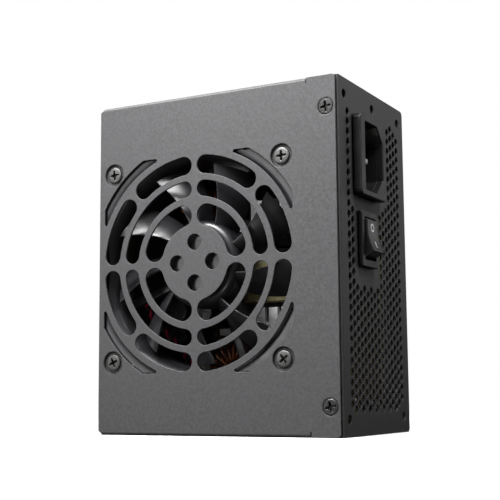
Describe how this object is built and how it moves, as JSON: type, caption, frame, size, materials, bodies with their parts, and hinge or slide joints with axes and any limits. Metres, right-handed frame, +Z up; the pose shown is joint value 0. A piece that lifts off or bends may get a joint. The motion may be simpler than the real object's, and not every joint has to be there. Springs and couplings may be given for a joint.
{
  "type": "power supply unit",
  "caption": "Small form factor computer power supply in a folded steel case, with a grille over its fan, a perforated mains end, a mains inlet and a rocker switch.",
  "frame": {"origin": "middle of the side wall that the unit stands on", "axes": "+X from the cable end towards the mains end, +Y from the fan face towards the base plate, +Z up along the unit's longest side"},
  "size_m": [0.1071, 0.0636, 0.125],
  "materials": {
    "black_powder_coat": "fine-textured matt black powder coat",
    "nickel_screw": "nickel-plated",
    "black_plastic": "fine-grained moulding",
    "rocker_plastic": "satin moulding with two white marks",
    "fan_plastic": "smooth satin black",
    "tinned_brass": "tinned",
    "circuit_board": "phenolic laminate",
    "clear_sheet": "translucent film",
    "aluminium": "mill finish",
    "capacitor_sleeve": "shrink sleeve, bare aluminium top",
    "ferrite": "ground ferrite",
    "yellow_tape": "polyester tape",
    "copper_wire": "enamelled copper winding",
    "box_capacitor": "moulded",
    "black_epoxy": "moulded epoxy",
    "blue_epoxy": "dipped",
    "glass_tube": "clear",
    "rubber": "matt",
    "magnet": "bonded ferrite",
    "steel": "zinc-plated",
    "white_nylon": "moulded",
    "brown_wire": "insulated wire",
    "blue_wire": "insulated wire",
    "green_wire": "insulated wire",
    "red_wire": "insulated wire",
    "black_wire": "insulated wire"
  },
  "bodies": {
    "housing": {"cover_shell": "black_powder_coat", "base_tray": "black_powder_coat", "rear_panel": "black_powder_coat", "cover_screw_1": "nickel_screw", "cover_screw_2": "nickel_screw", "cover_screw_3": "nickel_screw", "cover_screw_4": "nickel_screw", "fan_screw_1": "nickel_screw", "fan_screw_2": "nickel_screw", "fan_screw_3": "nickel_screw", "fan_screw_4": "nickel_screw", "ac_inlet": "black_plastic", "switch_housing": "black_plastic", "fan_frame": "fan_plastic", "inlet_pin_line": "tinned_brass", "inlet_pin_neutral": "tinned_brass", "inlet_pin_earth": "tinned_brass", "switch_tab_1": "tinned_brass", "switch_tab_2": "tinned_brass", "fan_bearing": "tinned_brass", "main_board": "circuit_board", "control_board": "circuit_board", "insulating_sheet": "clear_sheet", "primary_heatsink": "aluminium", "secondary_heatsink": "aluminium", "bulk_capacitor": "capacitor_sleeve", "output_capacitor_1": "capacitor_sleeve", "output_capacitor_2": "capacitor_sleeve", "output_capacitor_3": "capacitor_sleeve", "transformer_core": "ferrite", "transformer_winding": "yellow_tape", "standby_transformer": "yellow_tape", "fan_stator": "copper_wire", "pfc_choke": "copper_wire", "output_choke": "copper_wire", "line_filter_choke": "copper_wire", "x_capacitor": "box_capacitor", "transformer_bobbin": "black_epoxy", "bridge_rectifier": "black_epoxy", "switching_transistor_1": "black_epoxy", "switching_transistor_2": "black_epoxy", "output_rectifier": "black_epoxy", "surge_varistor": "blue_epoxy", "line_fuse": "glass_tube", "cable_grommet": "rubber", "board_screw_1": "steel", "board_screw_2": "steel", "board_screw_3": "steel", "board_screw_4": "steel", "fan_plug": "white_nylon", "live_wire": "brown_wire", "switched_live_wire": "brown_wire", "neutral_wire": "blue_wire", "earth_wire": "green_wire", "fan_lead_red": "red_wire", "fan_lead_black": "black_wire"},
    "fan_rotor": {"fan_rotor": "fan_plastic", "fan_shaft": "steel", "fan_magnet_ring": "magnet"},
    "rocker": {"switch_rocker": "rocker_plastic"}
  },
  "joints": [
    {"name": "fan_spin", "type": "hinge", "parent": "housing", "child": "fan_rotor", "pos_m": [-0.0077, -0.02315, 0.0625], "axis": [0, 1, 0], "continuous": true},
    {"name": "rocker_tilt", "type": "hinge", "parent": "housing", "child": "rocker", "pos_m": [0.049, -0.00875, 0.0693], "axis": [0, 1, 0], "range_deg": [0, 24]}
  ]
}
